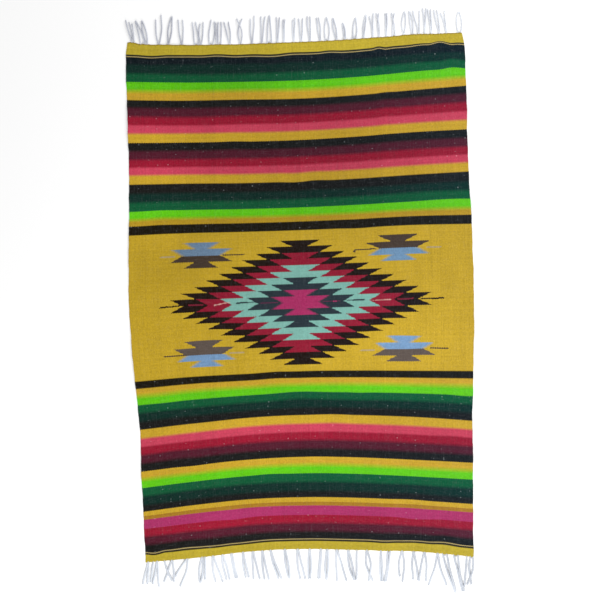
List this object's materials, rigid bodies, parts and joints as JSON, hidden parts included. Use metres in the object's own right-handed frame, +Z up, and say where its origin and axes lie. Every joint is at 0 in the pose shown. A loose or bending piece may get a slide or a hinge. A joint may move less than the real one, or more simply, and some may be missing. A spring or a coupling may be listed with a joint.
{
  "type": "mexican serape",
  "caption": "Large woven wool-like blanket laid out flat, with woven stripes, a stepped diamond in the middle field and knotted warp fringe along both short ends.",
  "frame": {"origin": "middle of the whole piece, fringe included, on the surface that it lies on", "axes": "+X across the cloth, from the selvedge at the picture's left to the one at its right; +Y along the warp, towards the hem at the picture's top; +Z up"},
  "size_m": [1.2582, 2.1075, 0.0063],
  "materials": {
    "weft_yarn": "matt soft-spun yarn, packed weft-faced weave",
    "warp_yarn": "matt two-ply twisted yarn"
  },
  "bodies": {
    "root": {"web": "weft_yarn", "fringe_top": "warp_yarn", "fringe_bottom": "warp_yarn"}
  },
  "joints": []
}
